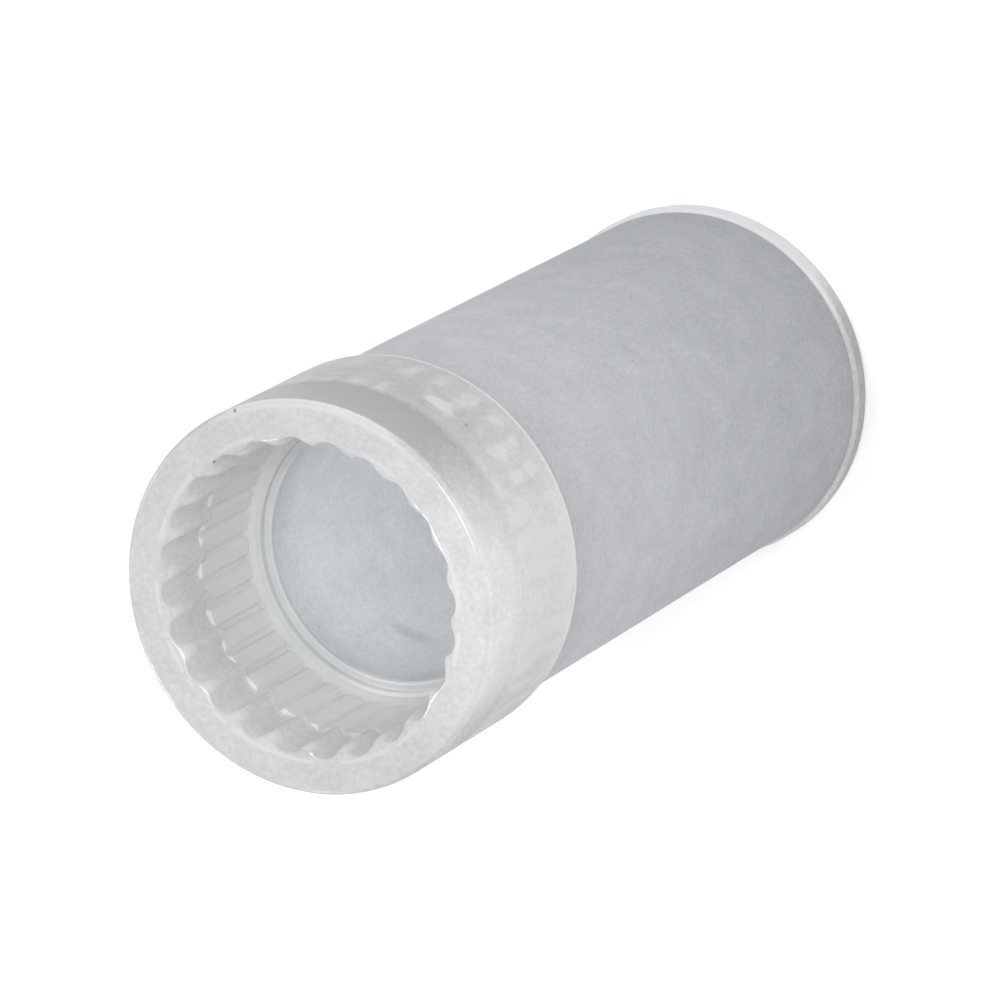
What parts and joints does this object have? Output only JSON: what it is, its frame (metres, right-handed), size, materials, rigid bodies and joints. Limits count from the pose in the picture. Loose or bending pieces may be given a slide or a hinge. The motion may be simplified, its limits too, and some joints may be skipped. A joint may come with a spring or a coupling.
{
  "type": "saliva ejector tip",
  "caption": "Short translucent suction tip: frosted barrel with a smooth through bore, clear front collar with a fluted mouth, ribbed grip bush and seal washer inside, lipped rear end.",
  "frame": {"origin": "centre of the rear end face, on which the tip stands", "axes": "+Z along the bore from the rear face to the fluted mouth; X and Y are equivalent"},
  "size_m": [0.0096, 0.0096, 0.0222],
  "materials": {
    "frosted_barrel": "frosted translucent, fine grain",
    "clear_collar": "milky clear, satin",
    "bush_silicone": "translucent silicone, satin",
    "seal_silicone": "translucent silicone, satin",
    "end_ring": "milky translucent, satin"
  },
  "bodies": {
    "root": {"barrel": "frosted_barrel", "front_collar": "clear_collar", "grip_bush": "bush_silicone", "seal_ring": "seal_silicone", "rear_end_ring": "end_ring"}
  },
  "joints": []
}
